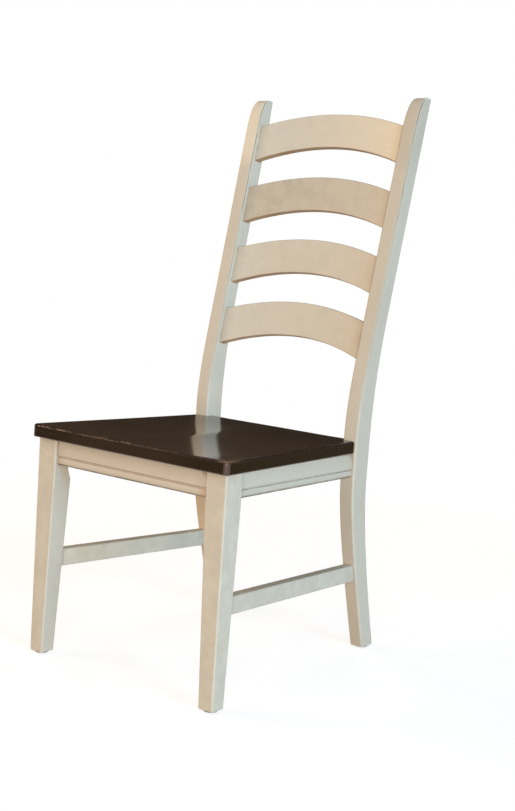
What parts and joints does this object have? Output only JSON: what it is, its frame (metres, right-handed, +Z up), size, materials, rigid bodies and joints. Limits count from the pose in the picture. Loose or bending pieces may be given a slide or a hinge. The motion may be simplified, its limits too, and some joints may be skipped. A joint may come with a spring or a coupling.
{
  "type": "ladderback dining chair",
  "caption": "Painted wooden dining chair with a tall raked ladder back of arched, bowed slats, a dark scooped seat, a beaded apron and tapered front legs.",
  "frame": {"origin": "on the floor, under the centre of the bounding box", "axes": "+Z up, -Y out of the front of the chair, +X to the right as seen by someone who stands in front of the chair"},
  "size_m": [0.4908, 0.6324, 1.1552],
  "materials": {
    "cream_paint": "satin cream paint with a thin warm glaze, over hardwood",
    "seat_stain": "very dark brown stain under a glossy clear coat",
    "plain_wood": "bare, sanded hardwood",
    "steel": "zinc-plated steel",
    "glide_plastic": "dark brown moulded plastic"
  },
  "bodies": {
    "root": {"seat": "seat_stain", "back_post_left": "cream_paint", "back_post_right": "cream_paint", "front_leg_left": "cream_paint", "front_leg_right": "cream_paint", "front_rail": "cream_paint", "back_rail": "cream_paint", "side_rail_left": "cream_paint", "side_rail_right": "cream_paint", "stretcher_left": "cream_paint", "stretcher_right": "cream_paint", "slat_top": "cream_paint", "slat_upper_middle": "cream_paint", "slat_lower_middle": "cream_paint", "slat_bottom": "cream_paint", "corner_block_front_left": "plain_wood", "corner_block_front_right": "plain_wood", "corner_block_back_left": "plain_wood", "corner_block_back_right": "plain_wood", "front_rail_dowels": "plain_wood", "side_rail_dowels": "plain_wood", "hanger_bolts": "steel", "hanger_bolt_nuts": "steel", "hanger_bolt_washers": "steel", "corner_block_screws": "steel", "seat_screws": "steel", "glide_front_left": "glide_plastic", "glide_front_right": "glide_plastic", "glide_back_left": "glide_plastic", "glide_back_right": "glide_plastic"}
  },
  "joints": []
}
